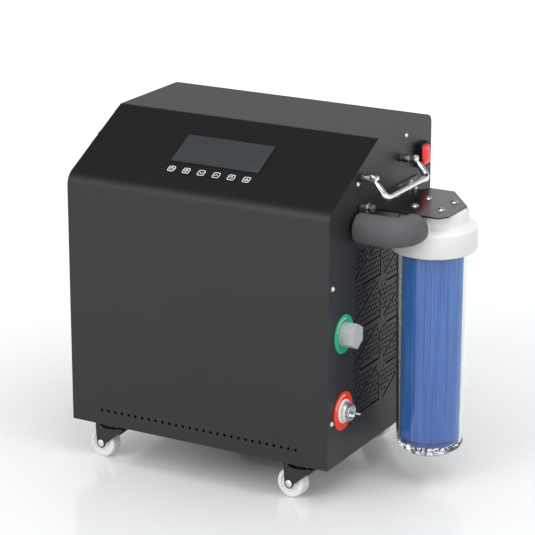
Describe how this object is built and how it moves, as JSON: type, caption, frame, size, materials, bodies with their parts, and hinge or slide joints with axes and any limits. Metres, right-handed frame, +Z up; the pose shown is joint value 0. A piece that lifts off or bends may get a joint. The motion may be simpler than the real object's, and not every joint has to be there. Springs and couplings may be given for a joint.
{
  "type": "ice bath chiller",
  "caption": "Water chiller for an ice bath: black sheet-metal cabinet on casters with sloped display face, carrying bails, vented side, two water ports and a clear filter on a bracket.",
  "frame": {"origin": "centre of the footprint of the whole object, on the floor", "axes": "+X towards the side with the filter and the ports, +Y towards the rear with the fan, +Z up"},
  "size_m": [0.5414, 0.2883, 0.454],
  "materials": {
    "powder_black": "fine satin powder coat",
    "gloss_black": "gloss black paint",
    "zinc": "zinc-plated steel",
    "bright_chrome": "polished chrome",
    "dark_nickel": "dark nickel plate",
    "display_glass": "smoked acrylic, gloss",
    "white_plastic": "white plastic, satin gloss",
    "white_wheel": "white nylon",
    "black_plastic": "black plastic",
    "red_rocker": "translucent red plastic",
    "clear_bowl": "clear polycarbonate",
    "blue_media": "blue pleated filter media",
    "blue_plastic": "blue plastic",
    "rubber_black": "black rubber",
    "foam_grey": "grey closed-cell foam",
    "ring_green": "green plastic",
    "ring_red": "red-orange plastic",
    "grey_fitting": "light grey plastic",
    "grey_metal": "machined aluminium",
    "board_green": "circuit board",
    "copper": "copper pipe",
    "iron_black": "black painted compressor shell"
  },
  "bodies": {
    "cabinet": {"base_tray": "powder_black", "front_shell": "powder_black", "right_panel": "powder_black", "left_panel": "powder_black", "rear_panel": "powder_black", "dome_screws": "zinc", "display_window": "display_glass", "control_board": "board_green", "switch_frame": "black_plastic", "handle_posts": "dark_nickel", "filter_bracket": "gloss_black", "bracket_screws": "zinc", "filter_cap": "white_plastic", "hose_tails": "black_plastic", "front_hose": "rubber_black", "front_hose_foam": "foam_grey", "rear_pipe": "black_plastic", "outlet_ring": "ring_green", "inlet_ring": "ring_red", "outlet_fitting": "grey_fitting", "inlet_fitting": "grey_metal", "port_nuts": "black_plastic", "caster_plates": "gloss_black", "compressor": "iron_black", "compressor_feet": "rubber_black", "condenser": "grey_metal", "fan_frame": "powder_black", "fan_motor": "grey_metal", "fan_guard": "powder_black", "water_tank": "foam_grey", "water_pump": "black_plastic", "water_lines": "rubber_black", "refrigerant_lines": "copper", "power_supply": "grey_metal", "mains_inlet": "black_plastic"},
    "key_1": {"key_1": "white_plastic"},
    "key_2": {"key_2": "white_plastic"},
    "key_3": {"key_3": "white_plastic"},
    "key_4": {"key_4": "white_plastic"},
    "key_5": {"key_5": "white_plastic"},
    "key_6": {"key_6": "white_plastic"},
    "rocker": {"switch_rocker": "red_rocker"},
    "right_bail": {"right_bail": "bright_chrome"},
    "left_bail": {"left_bail": "bright_chrome"},
    "cartridge": {"cartridge_media": "blue_media", "cartridge_ends": "blue_plastic"},
    "bowl": {"filter_bowl": "clear_bowl", "bowl_seal": "rubber_black"},
    "cap_seal": {"cap_gasket": "rubber_black"},
    "port_cap": {"outlet_cap": "grey_fitting"},
    "valve_stem": {"inlet_stem": "white_plastic"},
    "fan": {"fan_rotor": "black_plastic"},
    "fork_fl": {"caster_fork_fl": "gloss_black"},
    "wheel_fl": {"caster_wheel_fl": "white_wheel"},
    "fork_fr": {"caster_fork_fr": "gloss_black"},
    "wheel_fr": {"caster_wheel_fr": "white_wheel"},
    "fork_rl": {"caster_fork_rl": "gloss_black"},
    "wheel_rl": {"caster_wheel_rl": "white_wheel"},
    "fork_rr": {"caster_fork_rr": "gloss_black"},
    "wheel_rr": {"caster_wheel_rr": "white_wheel"}
  },
  "joints": [
    {"name": "key_1_press", "type": "slide", "parent": "cabinet", "child": "key_1", "axis": [0, 0.4635, -0.8861], "range_m": [0, 0.0005], "stiffness_N_per_m": 400, "springref_m": -0.001},
    {"name": "key_2_press", "type": "slide", "parent": "cabinet", "child": "key_2", "axis": [0, 0.4635, -0.8861], "range_m": [0, 0.0005], "stiffness_N_per_m": 400, "springref_m": -0.001},
    {"name": "key_3_press", "type": "slide", "parent": "cabinet", "child": "key_3", "axis": [0, 0.4635, -0.8861], "range_m": [0, 0.0005], "stiffness_N_per_m": 400, "springref_m": -0.001},
    {"name": "key_4_press", "type": "slide", "parent": "cabinet", "child": "key_4", "axis": [0, 0.4635, -0.8861], "range_m": [0, 0.0005], "stiffness_N_per_m": 400, "springref_m": -0.001},
    {"name": "key_5_press", "type": "slide", "parent": "cabinet", "child": "key_5", "axis": [0, 0.4635, -0.8861], "range_m": [0, 0.0005], "stiffness_N_per_m": 400, "springref_m": -0.001},
    {"name": "key_6_press", "type": "slide", "parent": "cabinet", "child": "key_6", "axis": [0, 0.4635, -0.8861], "range_m": [0, 0.0005], "stiffness_N_per_m": 400, "springref_m": -0.001},
    {"name": "switch_toggle", "type": "hinge", "parent": "cabinet", "child": "rocker", "pos_m": [0.15417, 0.10655, 0.4065], "axis": [0, 1, 0], "range_deg": [0, 12]},
    {"name": "right_bail_swing", "type": "hinge", "parent": "cabinet", "child": "right_bail", "pos_m": [0.16837, -0.0042, 0.415], "axis": [0, -1, 0], "range_deg": [0, 95]},
    {"name": "left_bail_swing", "type": "hinge", "parent": "cabinet", "child": "left_bail", "pos_m": [-0.24803, 0.0228, 0.415], "axis": [0, 1, 0], "range_deg": [0, 95]},
    {"name": "bowl_lower", "type": "slide", "parent": "cabinet", "child": "cartridge", "axis": [0, 0, -1], "range_m": [0, 0.0181]},
    {"name": "bowl_unscrew", "type": "hinge", "parent": "cartridge", "child": "bowl", "pos_m": [0.21517, 0.0148, 0.254], "axis": [0, 0, -1], "range_deg": [0, 1080]},
    {"name": "port_cap_draw", "type": "slide", "parent": "cabinet", "child": "cap_seal", "axis": [1, 0, 0], "range_m": [0, 0.0091]},
    {"name": "port_cap_unscrew", "type": "hinge", "parent": "cap_seal", "child": "port_cap", "pos_m": [0.16217, -0.1042, 0.224], "axis": [1, 0, 0], "range_deg": [0, 1800]},
    {"name": "valve_press", "type": "slide", "parent": "cabinet", "child": "valve_stem", "axis": [-1, 0, 0], "range_m": [0, 0.004], "stiffness_N_per_m": 300, "springref_m": -0.002},
    {"name": "fan_spin", "type": "hinge", "parent": "cabinet", "child": "fan", "pos_m": [-0.03983, 0.1158, 0.234], "axis": [0, 1, 0], "continuous": true},
    {"name": "caster_swivel_fl", "type": "hinge", "parent": "cabinet", "child": "fork_fl", "pos_m": [-0.18183, -0.1202, 0.049], "axis": [0, 0, 1], "continuous": true},
    {"name": "caster_roll_fl", "type": "hinge", "parent": "fork_fl", "child": "wheel_fl", "pos_m": [-0.19578, -0.11898, 0.0195], "axis": [0.0872, 0.9962, 0], "continuous": true},
    {"name": "caster_swivel_fr", "type": "hinge", "parent": "cabinet", "child": "fork_fr", "pos_m": [0.10217, -0.1202, 0.049], "axis": [0, 0, 1], "continuous": true},
    {"name": "caster_roll_fr", "type": "hinge", "parent": "fork_fr", "child": "wheel_fr", "pos_m": [0.08822, -0.11898, 0.0195], "axis": [0.0872, 0.9962, 0], "continuous": true},
    {"name": "caster_swivel_rl", "type": "hinge", "parent": "cabinet", "child": "fork_rl", "pos_m": [-0.18183, 0.1158, 0.049], "axis": [0, 0, 1], "continuous": true},
    {"name": "caster_roll_rl", "type": "hinge", "parent": "fork_rl", "child": "wheel_rl", "pos_m": [-0.19578, 0.11702, 0.0195], "axis": [0.0872, 0.9962, 0], "continuous": true},
    {"name": "caster_swivel_rr", "type": "hinge", "parent": "cabinet", "child": "fork_rr", "pos_m": [0.10217, 0.1158, 0.049], "axis": [0, 0, 1], "continuous": true},
    {"name": "caster_roll_rr", "type": "hinge", "parent": "fork_rr", "child": "wheel_rr", "pos_m": [0.08822, 0.11702, 0.0195], "axis": [0.0872, 0.9962, 0], "continuous": true}
  ],
  "couplings": [
    {"joint": "bowl_lower", "follows": "bowl_unscrew", "m_per_rad": 0.00095493},
    {"joint": "port_cap_draw", "follows": "port_cap_unscrew", "m_per_rad": 0.00028648}
  ]
}
